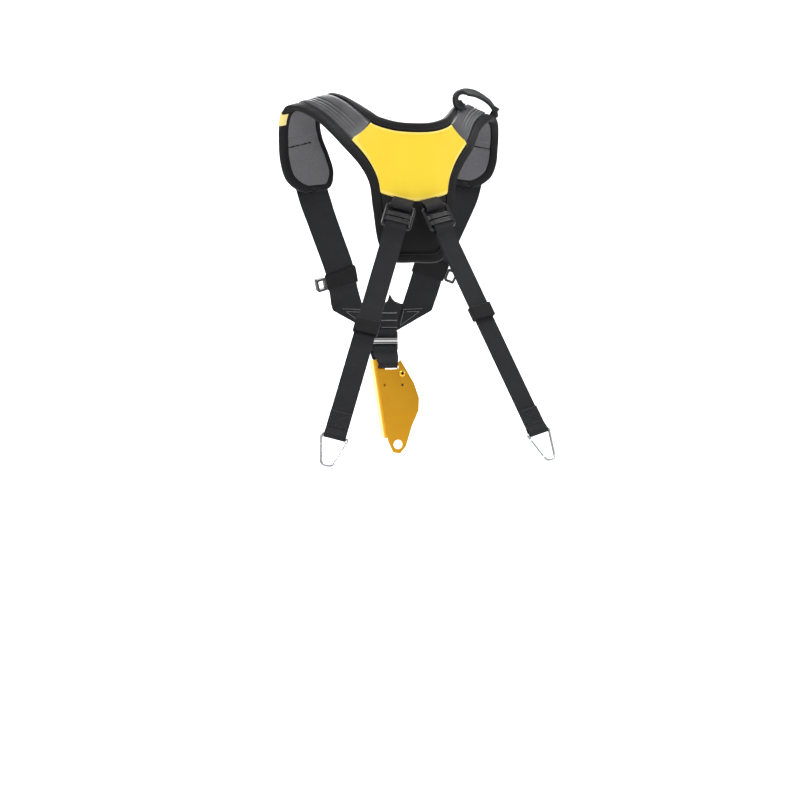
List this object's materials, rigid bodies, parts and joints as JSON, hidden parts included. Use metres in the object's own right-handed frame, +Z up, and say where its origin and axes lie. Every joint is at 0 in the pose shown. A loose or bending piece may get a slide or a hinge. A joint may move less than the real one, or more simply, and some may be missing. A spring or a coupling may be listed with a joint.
{
  "type": "climbing chest harness",
  "caption": "Padded chest harness in worn form: a yoke over both shoulders, front straps that meet at a rope clamp, and rear straps that end in wire links.",
  "frame": {"origin": "middle of the line on which the two shoulders carry the yoke, where the worn harness sits", "axes": "+Z up, +Y the way the wearer faces, so +X is the wearer's right"},
  "size_m": [0.2866, 0.2987, 0.461],
  "materials": {
    "padding": "smooth coated fabric over foam, grooved along the shoulders",
    "edge_tape": "folded woven tape, stitched",
    "mesh_lining": "grey mesh",
    "yellow_fabric": "matte moulded fabric",
    "pale_fabric": "matte woven tab",
    "webbing": "flat woven webbing, bar tacked",
    "elastic": "ribbed elastic band",
    "plastic": "moulded, satin",
    "steel": "polished",
    "black_steel": "glossy black coat",
    "gold_aluminium": "anodised, satin"
  },
  "bodies": {
    "harness": {"yoke_pad": "padding", "neck_binding": "edge_tape", "outer_binding": "edge_tape", "lining_left": "mesh_lining", "lining_right": "mesh_lining", "back_panel": "yellow_fabric", "edge_tab": "pale_fabric", "gear_loop": "webbing", "front_strap_left": "webbing", "front_strap_right": "webbing", "chest_yoke": "webbing", "chest_strap": "webbing", "rear_strap_left": "webbing", "rear_strap_right": "webbing", "buckle_strap_left": "webbing", "buckle_strap_right": "webbing", "strap_keeper_left": "elastic", "strap_keeper_right": "elastic", "tail_keeper_left": "elastic", "tail_keeper_right": "elastic", "clip_holder_left": "plastic", "clip_holder_right": "plastic", "slider": "steel", "clamp_rivet": "steel", "wire_link_left": "steel", "wire_link_right": "steel", "buckle_left": "black_steel", "buckle_right": "black_steel", "clamp_body": "gold_aluminium"},
    "cam": {"clamp_cam": "steel"},
    "catch": {"clamp_catch": "black_steel"},
    "gate_left": {"link_gate_left": "steel"},
    "gate_right": {"link_gate_right": "steel"}
  },
  "joints": [
    {"name": "cam_hinge", "type": "hinge", "parent": "harness", "child": "cam", "pos_m": [0.0188, 0.075, -0.3236], "axis": [0, 1, 0], "range_deg": [-35, 0], "stiffness_Nm_per_rad": 0.08, "springref_deg": 17.19},
    {"name": "catch_hinge", "type": "hinge", "parent": "cam", "child": "catch", "pos_m": [0.0138, 0.0794, -0.3486], "axis": [0, 1, 0], "range_deg": [-25, 0], "stiffness_Nm_per_rad": 0.02, "springref_deg": 11.46},
    {"name": "gate_left_hinge", "type": "hinge", "parent": "harness", "child": "gate_left", "pos_m": [-0.1074, -0.19486, -0.40024], "axis": [0.1773, 0.9122, -0.3695], "range_deg": [0, 25], "stiffness_Nm_per_rad": 0.01, "springref_deg": -17.19},
    {"name": "gate_right_hinge", "type": "hinge", "parent": "harness", "child": "gate_right", "pos_m": [0.1074, -0.19486, -0.40024], "axis": [0.1773, -0.9122, 0.3695], "range_deg": [0, 25], "stiffness_Nm_per_rad": 0.01, "springref_deg": -17.19}
  ]
}
